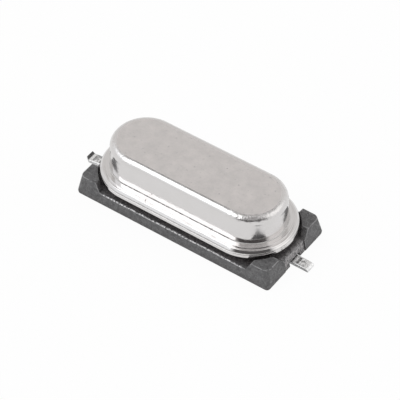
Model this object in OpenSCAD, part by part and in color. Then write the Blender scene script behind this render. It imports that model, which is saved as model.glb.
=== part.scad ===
// Low-profile metal-can quartz crystal unit on a moulded surface-mount seat.
// +Z is up and +X runs along the length. The origin lies at the middle of the
// seating plane, on which the seat and both lead tabs stand.

/* [Can] */
// Length over the welded flange
flange_l = 10.78; // [9.2:0.01:13.2]
// Width over the welded flange
flange_w = 4.58; // [4:0.01:5.6]
// Height of the can's top above the seating plane
can_h = 3.2; // [3.05:0.01:4.2]
// Distance from the flange's edge in to the can's wall
flange_rim = 0.49; // [0.42:0.01:0.6]
// Thickness of the can's sheet metal
sheet_t = 0.22; // [0.15:0.01:0.27]
// Outer radius of the can's top edge
can_edge_r = 0.4; // [0.3:0.01:0.6]
// Radius in the corner between the wall and the flange's ledge
ledge_r = 0.05; // [0.04:0.01:0.2]
// Height of the flange's ledge above the seam
step_h = 0.3; // [0.28:0.01:0.5]
// Width of the rim, from the flange's edge in to the ledge's step
step_w = 0.18; // [0.12:0.01:0.24]
// Height of the rim above the seam
rim_h = 0.23; // [0.21:0.01:0.24]
// Bevel on the rim's upper edge, at 45 degrees
rim_bevel = 0.12; // [0.06:0.01:0.15]
// Rounding of the ledge's edge
step_edge_r = 0.05; // [0.02:0.01:0.06]
// Rounding of both flanges where they meet at the seam
seam_r = 0.03; // [0.01:0.01:0.06]

/* [Header] */
// Thickness of the header's flange
header_t = 0.2; // [0.16:0.01:0.3]
// Height of the header's foot, from the seat's floor to the flange
foot_h = 0.43; // [0.35:0.01:0.55]
// Distance from the flange's edge in to the foot's wall
foot_inset = 0.38; // [0.3:0.01:0.6]
// Rounding of the foot's lower edge
foot_edge_r = 0.08; // [0.03:0.01:0.15]
// Height of the boss inside the can
boss_h = 0.16; // [0.1:0.01:0.25]
// Gap between the boss and the can's inner wall
boss_gap = 0.08; // [0.05:0.01:0.15]
// Rounding of the boss's and the flange's edges
header_edge_r = 0.05; // [0.02:0.01:0.08]
// Diameter of the two glass-filled eyelets
eyelet_d = 1.25; // [1:0.01:1.4]
// Height that the glass stands proud of the boss, and is set back under the foot
glass_proud = 0.05; // [0.02:0.01:0.08]

/* [Seat] */
// Distance that the seat reaches past the flange at each end
end_margin = 0.31; // [0.24:0.01:0.6]
// Distance that the seat reaches past the flange along each side
side_margin = 0.07; // [0.02:0.01:0.4]
// Thickness of the floor that carries the header
floor_t = 0.67; // [0.6:0.01:0.82]
// Height of the four corner blocks above the floor
block_h = 0.47; // [0.3:0.01:0.62]
// Slope of the outer walls from upright, in degrees
seat_draft = 9; // [4:0.1:12]
// Height of the mould's parting line, where the outer walls stand out farthest
parting_h = 0.15; // [0.06:0.01:0.25]
// Radius of the upright corners at the parting line
seat_corner_r = 0.2; // [0.1:0.01:0.5]
// Radius of the same corners at the top
seat_top_r = 0.3; // [0.1:0.01:0.5]
// Chamfer on the top edges
seat_chamfer = 0.04; // [0.02:0.01:0.06]
// Where the blocks start on the long sides, out from the flange's end centres
block_start = 1.23; // [1:0.01:1.5]
// Opening between the two blocks at an end, at the floor
sill_w = 1.68; // [1.5:0.01:2.2]
// Slope of a block's end face on the long side, from upright, in degrees
block_slope_long = 29; // [10:1:40]
// Slope of a block's end face on the short side, from upright, in degrees
block_slope_end = 40; // [10:1:45]
// Running gap between the flange and the corner blocks
pocket_gap = 0.11; // [0.05:0.01:0.2]
// Depth of the recessed end face between two blocks, at the floor
sill_recess = 0.08; // [0.04:0.01:0.12]
// Depth of the same recess at the seating plane
sill_recess_foot = 0.02; // [0.01:0.01:0.04]
// Lead-in at the top of each lead hole
lead_in = 0.1; // [0.05:0.01:0.15]

/* [Leads] */
// Distance between the two leads
lead_pitch = 4.88; // [4.1:0.01:5.9]
// Diameter of the lead wire
lead_d = 0.43; // [0.35:0.01:0.52]
// Radius of the bend, at the wire's centre
bend_r = 0.35; // [0.28:0.01:0.42]
// Length of each tab outside the seat
tab_out = 0.85; // [0.6:0.01:1.2]
// Length of each tab inside its notch
tab_in = 0.5; // [0.3:0.01:0.7]
// Width of the flattened tab
tab_w = 0.56; // [0.46:0.01:0.68]
// Thickness of the flattened tab
tab_t = 0.2; // [0.15:0.01:0.24]
// Length over which the wire is pressed out to the tab
press_l = 0.35; // [0.25:0.01:0.45]
// Rounding of the tab's outer corners
tab_corner_r = 0.06; // [0.04:0.01:0.15]
// Length of the worn tip
tip_l = 0.17; // [0.1:0.01:0.25]
// Drop of the worn tip at the tab's end
tip_drop = 0.07; // [0.02:0.01:0.1]
// Depth of the coined face and of the score line
coin_depth = 0.02; // [0.01:0.005:0.04]
// Raised border round the coined face
coin_border = 0.09; // [0.05:0.01:0.15]
// Distance of the score line outside the seat
score_out = 0.16; // [0.1:0.01:0.25]
// Width of the score line
score_w = 0.11; // [0.06:0.01:0.16]
// Gap around the wire and its neck in the seat's groove
lead_gap = 0.035; // [0.02:0.005:0.06]
// Gap around the upright post in its hole
hole_gap = 0.07; // [0.04:0.01:0.1]
// Gap on each side of the tab in its notch
notch_side_gap = 0.14; // [0.1:0.01:0.35]
// Gap above the tab in its notch
notch_top_gap = 0.06; // [0.04:0.01:0.15]
// Diameter of the nail head on the lead's top
head_d = 0.76; // [0.6:0.01:0.92]
// Thickness of the nail head
head_t = 0.1; // [0.06:0.01:0.14]

/* [Crystal] */
// Gap from the can's inner end to the quartz blank
blank_end_gap = 0.68; // [0.5:0.01:1]
// Gap from the can's inner side to the quartz blank
blank_side_gap = 0.63; // [0.5:0.01:0.8]
// Thickness of the quartz blank
blank_t = 0.17; // [0.1:0.01:0.25]
// Length of the electrode's wide field
electrode_l = 3.6; // [2.5:0.1:4.5]
// Distance from the blank's long edges in to the electrode
electrode_margin = 0.25; // [0.15:0.01:0.4]
// Corner radius of the electrode's wide field
electrode_corner_r = 0.3; // [0.1:0.01:0.4]
// Thickness of the electrode film
electrode_t = 0.02; // [0.01:0.005:0.03]
// Width of the electrode's strip to the blank's end
strip_w = 0.6; // [0.5:0.01:0.8]
// Width of the spring clip's foot
clip_w = 0.9; // [0.6:0.01:1]
// Distance from the blank's long edges in to the clip's shelf
shelf_margin = 0.3; // [0.2:0.01:0.4]
// Thickness of the clip's strip
clip_t = 0.1; // [0.06:0.01:0.12]
// Rise from the clip's foot to its shelf
clip_rise = 0.26; // [0.18:0.01:0.3]
// Angle of the clip's two bends, in degrees
clip_bend = 45; // [30:1:60]
// Gap between the blank's end and the clip's upright lip
lip_gap = 0.04; // [0.02:0.01:0.08]
// Height of the lip above the blank
lip_h = 0.1; // [0.05:0.01:0.15]
// Gap from the lip up to the can's roof
roof_gap = 0.47; // [0.35:0.01:0.55]
// Diameter of an adhesive dab
dab_d = 0.46; // [0.3:0.01:0.56]
// Height of an adhesive dab
dab_h = 0.16; // [0.1:0.01:0.2]

/* [Hidden] */
$fn = 64;
LEFT = -1;
RIGHT = 1;
cut = 1; // how far a cutter runs past the face that it opens
CORNER_FN = 32; // facets round an upright corner of the seat

// Oval outlines: every one has its end centres at +-oval_c
flange_r = flange_w / 2;
oval_c = flange_l / 2 - flange_r;
wall_r = flange_r - flange_rim;
inner_r = wall_r - sheet_t;
step_r = flange_r - step_w;
pocket_r = flange_r + pocket_gap;

// Levels of the metal parts above the seating plane, from the floor up
z_flange = floor_t + foot_h;
z_seam = z_flange + header_t;
z_boss = z_seam + boss_h;
z_roof = can_h - sheet_t;

// Blank, hung below the roof, and the levels of what carries it
blank_l = 2 * (oval_c + inner_r - blank_end_gap);
blank_w = 2 * (inner_r - blank_side_gap);
z_lip = z_roof - roof_gap;
z_blank_top = z_lip - lip_h;
z_blank = z_blank_top - blank_t;
z_shelf = z_blank - electrode_t - clip_t;
z_clip = z_shelf - clip_rise;

// Seat outline at the parting line, and how far a wall leans in from it at a height
seat_l = flange_l + 2 * end_margin;
seat_w = flange_w + 2 * side_margin;
seat_h = floor_t + block_h;
function wall_in(z) = abs(z - parting_h) * tan(seat_draft);
block_x = oval_c + block_start;
block_y = sill_w / 2;
sill_x = seat_l / 2 - wall_in(floor_t) - sill_recess; // end of the floor between the blocks

// Leads
wire_r = lead_d / 2;
lead_x = lead_pitch / 2;
bend_x = lead_x + bend_r;
bend_z = wire_r + bend_r;
tab_x = seat_l / 2 - tab_in; // where the tab reaches its full width
press_x = tab_x - press_l;   // where the round wire ends
tab_end = seat_l / 2 + tab_out;

// A 2D outline, drawn at x >= 0 from the spine, swept round the oval
module sweep() {
    for (side = [LEFT, RIGHT])
        translate([side * oval_c, 0, 0])
            rotate([0, 0, -90 * side])
                rotate_extrude(angle = 180) children();
    rotate([90, 0, 90])
        linear_extrude(2 * oval_c, center = true) {
            children();
            mirror([1, 0]) children();
        }
}

// A piece drawn for the +X end, placed at either end
module at_end(side) {
    mirror([side == LEFT ? 1 : 0, 0, 0]) children();
}

// An XZ outline, centred on Y
module slab(width) {
    rotate([90, 0, 0]) linear_extrude(width, center = true) children();
}

// A bar from the spine out to radius r, its outer top corner rounded
module bar(r, z0, z1, round_r) {
    translate([0, z0]) square([r, z1 - z0 - round_r]);
    translate([0, z0]) square([r - round_r, z1 - z0]);
    intersection() {
        translate([r - round_r, z1 - round_r]) circle(round_r);
        translate([0, z0]) square([r, z1 - z0]);
    }
}

// The same bar with its outer bottom corner rounded as well
module rounded_bar(r, z0, z1, top_r, bottom_r) {
    difference() {
        bar(r, z0, z1, top_r);
        difference() {
            translate([r - bottom_r, z0 - cut]) square([cut, bottom_r + cut]);
            translate([r - bottom_r, z0 + bottom_r]) circle(bottom_r);
        }
    }
}

// Space in the corner where the wall turns out into the flange, less a circle
module flare(z0, flare_radius) {
    flare_top = z_seam + step_h + ledge_r;
    difference() {
        translate([0, z0]) square([wall_r + ledge_r, flare_top - z0]);
        translate([wall_r + ledge_r, flare_top]) circle(flare_radius);
    }
}

// Rim of the can's flange, its upper edge bevelled
module rim_outline() {
    rim_top = z_seam + rim_h;
    bevel_r = flange_r - rim_bevel;
    difference() {
        rounded_bar(flange_r, z_seam, rim_top, seam_r, seam_r);
        polygon([
            [bevel_r - cut, rim_top + cut],
            [flange_r + cut, rim_top - rim_bevel - cut],
            [flange_r + cut, rim_top + cut]
        ]);
    }
}

// Outer outline of the drawn can: wall, ledge and rim
module can_outline() {
    bar(wall_r, z_seam, can_h, can_edge_r);
    flare(z_seam, ledge_r);
    bar(step_r, z_seam, z_seam + step_h, step_edge_r);
    rim_outline();
}

// Hollow of the can, one sheet's thickness inside the wall and the ledge
module can_hollow_outline() {
    ledge_roof = z_seam + step_h - sheet_t;
    bar(inner_r, z_seam - cut, z_roof, can_edge_r - sheet_t);
    flare(z_seam - cut, ledge_r + sheet_t);
    translate([0, z_seam - cut]) square([step_r - sheet_t, cut + ledge_roof - z_seam]);
}

module cap() {
    color("gainsboro")
        difference() {
            sweep() can_outline();
            sweep() can_hollow_outline();
        }
}

// Pressed header: foot, welded flange and the boss inside the can
module header() {
    color("silver")
        difference() {
            union() {
                sweep() rounded_bar(flange_r - foot_inset, floor_t, z_seam, header_edge_r, foot_edge_r);
                sweep() rounded_bar(flange_r, z_flange, z_seam, seam_r, header_edge_r);
                sweep() bar(inner_r - boss_gap, z_flange, z_boss, header_edge_r);
            }
            for (side = [LEFT, RIGHT])
                translate([side * lead_x, 0, floor_t - cut])
                    cylinder(h = z_boss - floor_t + 2 * cut, d = eyelet_d);
        }
}

// Glass bead that seals a lead in its eyelet, with a domed shoulder on top
module glass_seal(side) {
    bottom = floor_t + glass_proud;
    shoulder_d = eyelet_d - 4 * glass_proud;
    color("darkseagreen")
        translate([side * lead_x, 0, 0])
            difference() {
                union() {
                    translate([0, 0, bottom]) cylinder(h = z_boss - bottom, d = eyelet_d);
                    translate([0, 0, z_boss])
                        cylinder(h = glass_proud, d1 = eyelet_d, d2 = shoulder_d);
                }
                translate([0, 0, bottom - cut])
                    cylinder(h = z_boss - bottom + 2 * cut, d = lead_d);
            }
}

// The round wire's route: up through the seat, round the bend and out to the neck
module wire_path(r, post_r, top) {
    translate([lead_x, 0, bend_z])
        cylinder(h = top - bend_z, r = post_r);
    translate([bend_x, 0, bend_z])
        rotate([90, 0, 180])
            rotate([0, 0, -90])
                rotate_extrude(angle = 90)
                    translate([bend_r, 0]) circle(r);
    translate([bend_x, 0, wire_r])
        rotate([0, 90, 0])
            cylinder(h = press_x - bend_x, r = r);
}

// One lead for the +X side: nail head, wire and pressed tab
module lead_shape() {
    wire_path(wire_r, wire_r, z_clip - head_t);
    translate([lead_x, 0, z_clip - head_t])
        cylinder(h = head_t, d = head_d);
    pressed_neck();
    pressed_tab();
}

// Where the round wire spreads into the flat tab
module pressed_neck() {
    flat_r = sqrt(pow(tab_w / 2, 2) + pow(wire_r - tab_t / 2, 2));
    intersection() {
        translate([press_x, 0, wire_r])
            rotate([0, 90, 0])
                cylinder(h = press_l, r1 = wire_r, r2 = flat_r);
        slab(lead_d + tab_w)
            polygon([
                [press_x - cut, 0],
                [tab_x + cut, 0],
                [tab_x + cut, tab_t],
                [tab_x, tab_t],
                [press_x, lead_d],
                [press_x - cut, lead_d]
            ]);
    }
}

// Outline of the tab seen from above, its outer corners rounded
module tab_outline() {
    corner_x = tab_end - tab_corner_r;
    corner_y = tab_w / 2 - tab_corner_r;
    translate([tab_x, -tab_w / 2]) square([corner_x - tab_x, tab_w]);
    translate([tab_x, -corner_y]) square([tab_end - tab_x, 2 * corner_y]);
    for (y = [LEFT, RIGHT])
        translate([corner_x, y * corner_y]) circle(tab_corner_r);
}

// Flat solder tab, coined and scored on top, worn down at its tip
module pressed_tab() {
    coin_w = tab_w - 2 * coin_border;
    coin_x = seat_l / 2 + score_out + score_w;
    score_r = (pow(score_w / 2, 2) + pow(coin_depth, 2)) / (2 * coin_depth);
    difference() {
        intersection() {
            linear_extrude(tab_t) tab_outline();
            slab(2 * tab_w)
                polygon([
                    [tab_x, 0],
                    [tab_end + cut, 0],
                    [tab_end + cut, tab_t - tip_drop],
                    [tab_end, tab_t - tip_drop],
                    [tab_end - tip_l, tab_t],
                    [tab_x, tab_t]
                ]);
        }
        translate([coin_x, -coin_w / 2, tab_t - coin_depth])
            cube([tab_end - tip_l - coin_border - coin_x, coin_w, cut]);
        translate([seat_l / 2 + score_out, 0, tab_t - coin_depth + score_r])
            rotate([90, 0, 0])
                cylinder(h = coin_w, r = score_r, center = true);
    }
}

module lead(side) {
    color("lightgray") at_end(side) lead_shape();
}

// Moulded seat: drafted tray with four corner blocks that locate the can
module seat() {
    color("dimgray")
        difference() {
            seat_body();
            between_blocks();
            for (side = [LEFT, RIGHT])
                at_end(side) {
                    can_pocket();
                    sill_face();
                    lead_way();
                    neck_pocket();
                    tab_notch();
                }
            floor_edge_chamfers();
        }
}

// Block with rounded corners, drafted both ways from its parting line, and a chamfered top
module seat_body() {
    wall_h = seat_h - seat_chamfer;
    top_in = seat_top_r + wall_in(wall_h);
    hull()
        for (x = [LEFT, RIGHT], y = [LEFT, RIGHT]) {
            translate([x * (seat_l / 2 - seat_corner_r), y * (seat_w / 2 - seat_corner_r), 0])
                cylinder(
                    h = parting_h,
                    r1 = seat_corner_r - wall_in(0),
                    r2 = seat_corner_r,
                    $fn = CORNER_FN
                );
            translate([x * (seat_l / 2 - top_in), y * (seat_w / 2 - top_in), parting_h]) {
                cylinder(h = wall_h - parting_h, r = seat_top_r, $fn = CORNER_FN);
                cylinder(h = seat_h - parting_h, r = seat_top_r - seat_chamfer, $fn = CORNER_FN);
            }
        }
}

// Open space above the floor between two blocks, its sides leaning out
module gap_outline(half_w, slope) {
    over = block_h + cut;
    lean = over * tan(slope);
    polygon([
        [-half_w, 0],
        [half_w, 0],
        [half_w + lean, over],
        [-half_w - lean, over]
    ]);
}

module between_blocks() {
    translate([0, 0, floor_t]) {
        slab(seat_w + 2 * cut) gap_outline(block_x, block_slope_long);
        rotate([0, 0, 90]) slab(seat_l + 2 * cut) gap_outline(block_y, block_slope_end);
    }
}

// Round inner faces of the blocks, clear of the flange
module can_pocket() {
    translate([oval_c, 0, floor_t])
        cylinder(h = block_h + cut, r = pocket_r);
}

// End face between two blocks, set back and sloped more than the wall
module sill_face() {
    foot_x = seat_l / 2 - wall_in(0) - sill_recess_foot;
    slab(sill_w)
        polygon([
            [foot_x, -cut],
            [foot_x, 0],
            [sill_x, floor_t],
            [sill_x, floor_t + cut],
            [foot_x + cut, floor_t + cut],
            [foot_x + cut, -cut]
        ]);
}

// Way for the wire: hole with a lead-in, bend and groove along the underside
module lead_way() {
    groove_r = wire_r + lead_gap;
    hole_r = wire_r + hole_gap;
    wire_path(groove_r, hole_r, floor_t + cut);
    translate([lead_x, 0, -cut]) cylinder(h = cut + bend_z, r = hole_r);
    translate([lead_x, -groove_r, -cut]) cube([press_x - lead_x, 2 * groove_r, cut + wire_r]);
    translate([lead_x, 0, floor_t - lead_in])
        cylinder(h = 2 * lead_in, r1 = hole_r, r2 = hole_r + 2 * lead_in);
}

// Wider end of the groove, where the wire spreads into the tab
module neck_pocket() {
    pocket_w = tab_w + 4 * lead_gap;
    translate([press_x, -pocket_w / 2, -cut])
        cube([press_l + lead_gap, pocket_w, cut + lead_d + lead_gap]);
}

// Notch in the seat's end for the tab
module tab_notch() {
    notch_w = tab_w + 2 * notch_side_gap;
    translate([tab_x, -notch_w / 2, -cut])
        cube([tab_in + cut, notch_w, cut + tab_t + notch_top_gap]);
}

// Chamfer along the floor's open edges
module floor_edge_chamfers() {
    side = sqrt(2) * seat_chamfer;
    for (y = [LEFT, RIGHT])
        translate([0, y * (seat_w / 2 - wall_in(floor_t)), floor_t])
            rotate([45, 0, 0])
                cube([2 * block_x, side, side], center = true);
    for (x = [LEFT, RIGHT])
        translate([x * sill_x, 0, floor_t])
            rotate([0, 45, 0])
                cube([side, sill_w, side], center = true);
}

// Bent spring clip welded on the lead's head, carrying one end of the blank
module clip_shape() {
    foot_in = lead_x - head_d / 2;
    foot_out = lead_x + head_d / 2;
    shelf_x = foot_out + clip_rise / tan(clip_bend);
    shelf_w = blank_w - 2 * shelf_margin;
    lip_in = blank_l / 2 + lip_gap;
    lip_out = lip_in + clip_t;
    fold = clip_t * tan(clip_bend / 2);
    intersection() {
        slab(blank_w)
            polygon([
                [foot_in, z_clip],
                [foot_out, z_clip],
                [shelf_x, z_shelf],
                [lip_out, z_shelf],
                [lip_out, z_lip],
                [lip_in, z_lip],
                [lip_in, z_shelf + clip_t],
                [shelf_x - fold, z_shelf + clip_t],
                [foot_out - fold, z_clip + clip_t],
                [foot_in, z_clip + clip_t]
            ]);
        linear_extrude(can_h) {
            translate([foot_in, -clip_w / 2]) square([shelf_x - foot_in, clip_w]);
            translate([shelf_x, -shelf_w / 2]) square([lip_out - shelf_x, shelf_w]);
        }
    }
}

module mount_clip(side) {
    color("goldenrod") at_end(side) clip_shape();
}

module quartz_blank() {
    color("lightcyan")
        translate([-blank_l / 2, -blank_w / 2, z_blank])
            cube([blank_l, blank_w, blank_t]);
}

// Silver film: a rounded field with a strip to the blank's end on one side
module electrode_shape(side) {
    electrode_w = blank_w - 2 * electrode_margin;
    corner_x = electrode_l / 2 - electrode_corner_r;
    corner_y = electrode_w / 2 - electrode_corner_r;
    linear_extrude(electrode_t) {
        square([electrode_l, 2 * corner_y], center = true);
        square([2 * corner_x, electrode_w], center = true);
        for (x = [LEFT, RIGHT], y = [LEFT, RIGHT])
            translate([x * corner_x, y * corner_y]) circle(electrode_corner_r);
        translate([side * blank_l / 4, 0]) square([blank_l / 2, strip_w], center = true);
    }
}

module electrode_top() {
    color("whitesmoke")
        translate([0, 0, z_blank_top]) electrode_shape(RIGHT);
}

module electrode_bottom() {
    color("whitesmoke")
        translate([0, 0, z_blank - electrode_t]) electrode_shape(LEFT);
}

// Two domed dabs of conductive adhesive, on the strip's edges and against the clip's lip
module dabs() {
    ball_r = (pow(dab_d / 2, 2) + pow(dab_h, 2)) / (2 * dab_h);
    lip_in = blank_l / 2 + lip_gap;
    for (y = [LEFT, RIGHT])
        intersection() {
            translate([blank_l / 2 - dab_d / 4, y * strip_w / 2, z_blank_top + dab_h - ball_r])
                sphere(ball_r);
            translate([lip_in - 2 * dab_d, -blank_w / 2, z_blank_top])
                cube([2 * dab_d, blank_w, 2 * dab_h]);
        }
}

module adhesive(side) {
    color("lightslategray")
        difference() {
            at_end(side) dabs();
            electrode_top();
        }
}

seat();
header();
cap();
glass_seal(LEFT);  // glass_seal_left
glass_seal(RIGHT);  // glass_seal_right
lead(LEFT);  // lead_left
lead(RIGHT);  // lead_right
mount_clip(LEFT);  // mount_clip_left
mount_clip(RIGHT);  // mount_clip_right
quartz_blank();
electrode_top();
electrode_bottom();
adhesive(LEFT);  // adhesive_left
adhesive(RIGHT);  // adhesive_right
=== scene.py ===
import math

import bmesh
import bpy
from mathutils import Matrix, Vector


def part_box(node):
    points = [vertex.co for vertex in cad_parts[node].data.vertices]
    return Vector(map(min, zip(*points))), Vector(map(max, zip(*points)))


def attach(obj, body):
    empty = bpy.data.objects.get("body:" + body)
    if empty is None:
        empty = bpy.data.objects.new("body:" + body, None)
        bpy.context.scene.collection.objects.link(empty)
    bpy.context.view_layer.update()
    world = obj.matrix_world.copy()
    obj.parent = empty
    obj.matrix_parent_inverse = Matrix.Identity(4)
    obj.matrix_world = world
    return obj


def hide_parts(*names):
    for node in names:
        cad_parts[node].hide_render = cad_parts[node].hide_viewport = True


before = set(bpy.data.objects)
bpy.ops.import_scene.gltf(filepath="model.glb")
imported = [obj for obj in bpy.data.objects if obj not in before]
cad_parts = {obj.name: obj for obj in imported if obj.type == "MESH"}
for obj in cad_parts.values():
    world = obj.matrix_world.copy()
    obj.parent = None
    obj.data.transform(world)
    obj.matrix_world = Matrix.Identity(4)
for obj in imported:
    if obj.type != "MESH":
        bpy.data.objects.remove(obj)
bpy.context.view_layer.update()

MM = 0.001
WHITE = (1.0, 1.0, 1.0, 1.0)


# ---------------------------------------------------------------- sizes read from the frame

def box_mm(node):
    """A CAD node's lowest and highest corner, in millimetres."""
    low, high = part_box(node)
    return low / MM, high / MM


cap_low, cap_high = box_mm("cap")
header_low, header_high = box_mm("header")
glass_low, glass_high = box_mm("glass_seal_right")
seat_high = box_mm("seat")[1]
lead_high = box_mm("lead_right")[1]

FLANGE_R = cap_high.y                           # the flange's round ends, and half its width
OVAL_C = cap_high.x - FLANGE_R                  # from the middle to the centre of a round end
CAN_TOP = cap_high.z
SEAM_Z = cap_low.z                              # where the can meets the header
BOSS_TOP = header_high.z
FLOOR_Z = header_low.z                          # the seat's floor, which the header stands on
SEAT_X, SEAT_Y, SEAT_TOP = seat_high
LEAD_X = (glass_low.x + glass_high.x) / 2
EYELET_R = (glass_high.x - glass_low.x) / 2
TAB_END = lead_high.x
HEAD_Z = lead_high.z

# ---------------------------------------------------------------- sizes of the looks

# Can: the drawn cup over the seam
FLANGE_RIM = 0.49                               # from the wall out to the flange's edge
SHEET_T = 0.22
CAN_EDGE_R = 0.40                               # the domed top edge
TOP_RINGS = (0, 0.4, 0.75, 0.93)                # rings of the flat top, as shares of its half width
FOOT_R = 0.05                                   # the crease at the wall's foot
WALL_TAPER = 0.03                               # how far the wall's top leans in
KNEE_H = 0.7                                    # height over the ledge where the taper changes
KNEE_SHARE = 0.6                                # share of the taper reached there
LEDGE_DROP = 0.002                              # how far the ledge's outer edge droops
STEP_H = 0.30                                   # from the seam up to the ledge
STEP_W = 0.22                                   # from the step's side out to the flange's edge
STEP_EDGE_R = 0.02
STEP_LEAN = 0.0015                              # how far the step's top leans in
RIM_H = 0.215                                   # from the seam up to the rim's flat
RIM_BEVEL = 0.12
RIM_SOFT_R = 0.05                               # rounding on both sides of the bevel
SEAM_R = 0.03
WALL_R = FLANGE_R - FLANGE_RIM
STEP_R = FLANGE_R - STEP_W
INNER_R = WALL_R - SHEET_T
FLAT_R = WALL_R - WALL_TAPER - CAN_EDGE_R
LEDGE_Z = SEAM_Z + STEP_H
RIM_Z = SEAM_Z + RIM_H

# Header: flange, foot and boss
HEADER_T = 0.2
FOOT_INSET = 0.38
FOOT_EDGE_R = 0.08
HEADER_EDGE_R = 0.05
BOSS_R = INNER_R - 0.08

# Leads: nail head, round wire, bend, and the end that is pressed into a flat tab
WIRE_R = 0.215
BEND_R = 0.35
BEND_STEPS = 8
HEAD_R = 0.38
HEAD_T = 0.1
HEAD_MIDDLE_R = 0.1
HEAD_BEVEL = 0.02
TAB_T = 0.2
TAB_W = 0.56
TAB_EDGE_R = 0.035
TAB_IN = 0.5                                    # how far inside the seat's end the tab is full width
TAB_X = SEAT_X - TAB_IN
PRESS_L = 0.35                                  # length over which the wire flattens into the tab
PRESS_X = TAB_X - PRESS_L
PRESS_STEPS = 4
TIP_L = 0.17                                    # the sloping tip of the right tab
TIP_DROP = 0.07
TIP_EDGE_R = 0.03
NOSE_L = 0.03                                   # its last bit, which narrows
NOSE_SHARE = 0.8                                # share of the tip's drop where the nose starts
NOSE_INSET = 0.03
NOSE_DROP = 0.03
NOSE_EDGE_R = 0.02
TURN_L = 0.1                                    # the left tab's cut end, which is turned up
TURN_UP = 0.22
TURN_NARROWS = 0.15                             # share of its width that the cut end loses
TAB_SWING = 0.15                                # how far the left tab's end stands askew

# Pressings in a tab's top: a score line across it, and a coined field with a rim round it
SCORE_X = SEAT_X + 0.16
SCORE_HALF = 0.06                               # half the width of the score line,
SCORE_FLOOR = 0.03                              # and of its floor
SCORE_DIP = 0.02
FIELD_X = SCORE_X + 0.11
FIELD_END = TAB_END - TIP_L - 0.09
FIELD_SLOPE = 0.02
FIELD_DIP = 0.025
PRESS_RIM = 0.09                                # from the tab's side to the middle of a pressing's side
PRESS_SLOPE = 0.015                             # half the width of that sloping side

# Seat: the moulded tray
SEAT_DRAFT = math.radians(9)
PARTING_H = 0.15
SEAT_CORNER_R = 0.2
SEAT_TOP_R = 0.3
CORNER_STEPS = 8
BLOCK_X = OVAL_C + 1.23                         # inner ends of the corner blocks
BLOCK_Y = 0.84
SLOPE_LONG = math.radians(29)
SLOPE_END = math.radians(40)
POCKET_R = FLANGE_R + 0.11
SILL_RECESS = 0.08                              # how far the end face is set back at the floor,
SILL_RECESS_FOOT = 0.02                         # and at its foot
SEAT_BEVEL = 0.028
SEAT_BEVEL_STEPS = 3
LEAD_GAP = 0.035                                # room round the wire in its groove
GROOVE_R = WIRE_R + LEAD_GAP
GROOVE_LAP = 0.1                                # how far the groove runs on into the slot after it
HOLE_R = WIRE_R + 0.07
SLOT_HALF = TAB_W / 2 + 0.07                    # the slot over the flattening wire
SLOT_H = 2 * WIRE_R + LEAD_GAP
NOTCH_HALF = TAB_W / 2 + 0.14                   # the notch over the tab
NOTCH_H = TAB_T + 0.06

# Meshing, in millimetres and radians
OVAL_END_STEPS = 72
OVAL_SIDE_STEPS = 40
OVERCUT = 1.0                                   # how far a cutter runs past what it cuts
WELD = 1e-5
SLIVER = 1e-6
CUT_WELD = 1e-4                                 # booleans leave points and edges this close together
SHARP_METAL = math.radians(40)
SHARP_LEAD = math.radians(45)
SHARP_SEAT = math.radians(50)
BEVELLED_EDGE = math.radians(30)
SAME_PLANE = math.radians(0.5)


# ---------------------------------------------------------------- mesh tools

def new_object(name, data):
    """An object with this data, linked to the scene."""
    obj = bpy.data.objects.new(name, data)
    bpy.context.scene.collection.objects.link(obj)
    return obj


def object_of(bm, name):
    """An object with the bmesh's mesh; the bmesh is freed."""
    mesh = bpy.data.meshes.new(name)
    bm.to_mesh(mesh)
    bm.free()
    return new_object(name, mesh)


def smooth_normals(mesh, sharp_angle):
    """Area-weighted corner normals that stay split where faces meet at more than sharp_angle."""
    limit = math.cos(sharp_angle)
    faces_at = [[] for _ in mesh.vertices]
    weighted = []
    for face in mesh.polygons:
        weighted.append((face.normal.copy(), face.area))
        for v in face.vertices:
            faces_at[v].append(face.index)
    normals = []
    for face in mesh.polygons:
        own = weighted[face.index][0]
        for v in face.vertices:
            total = Vector()
            for other in faces_at[v]:
                normal, area = weighted[other]
                if normal.dot(own) > limit:
                    total += normal * area
            normals.append(total.normalized() if total.length > 0 else own)
    for face in mesh.polygons:
        face.use_smooth = True
    mesh.normals_split_custom_set(normals)


def piece_from(bm, name, sharp_angle):
    """Ends a millimetre bmesh as an object in metres with clean normals."""
    bmesh.ops.recalc_face_normals(bm, faces=bm.faces)
    piece = object_of(bm, name)
    smooth_normals(piece.data, sharp_angle)
    piece.data.transform(Matrix.Scale(MM, 4))
    return piece


def cleaned(bm, weld, sliver):
    """The bmesh with points closer than weld merged and edges shorter than sliver dissolved."""
    bmesh.ops.remove_doubles(bm, verts=bm.verts, dist=weld)
    bmesh.ops.dissolve_degenerate(bm, edges=bm.edges, dist=sliver)
    return bm


def arc(cx, cy, radius, start, end, steps):
    """Outline points on an arc round (cx, cy); angles in degrees, anticlockwise from +x."""
    points = []
    for i in range(steps + 1):
        a = math.radians(start + (end - start) * i / steps)
        points.append((cx + radius * math.cos(a), cy + radius * math.sin(a)))
    return points


def disc(cx, radius, steps):
    """Outline of a full circle on the x axis."""
    return arc(cx, 0, radius, 0, 360, steps)[:-1]


def rounded_corners(half_w, half_h, radius, steps):
    """The four corner arcs of a rounded rectangle round the origin, anticlockwise from the upper right."""
    return [arc(sx * (half_w - radius), sy * (half_h - radius), radius, start, start + 90, steps)
            for sx, sy, start in ((1, 1, 0), (-1, 1, 90), (-1, -1, 180), (1, -1, 270))]


def lofted(rings):
    """A closed skin through rings of points, with a cap on each end."""
    bm = bmesh.new()
    rings = [[bm.verts.new(point) for point in ring] for ring in rings]
    bm.faces.new(rings[0])
    bm.faces.new(reversed(rings[-1]))
    for ring, after in zip(rings, rings[1:]):
        for i in range(len(ring)):
            j = (i + 1) % len(ring)
            bm.faces.new((ring[j], ring[i], after[i], after[j]))
    bmesh.ops.recalc_face_normals(bm, faces=bm.faces)
    return bm


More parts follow.
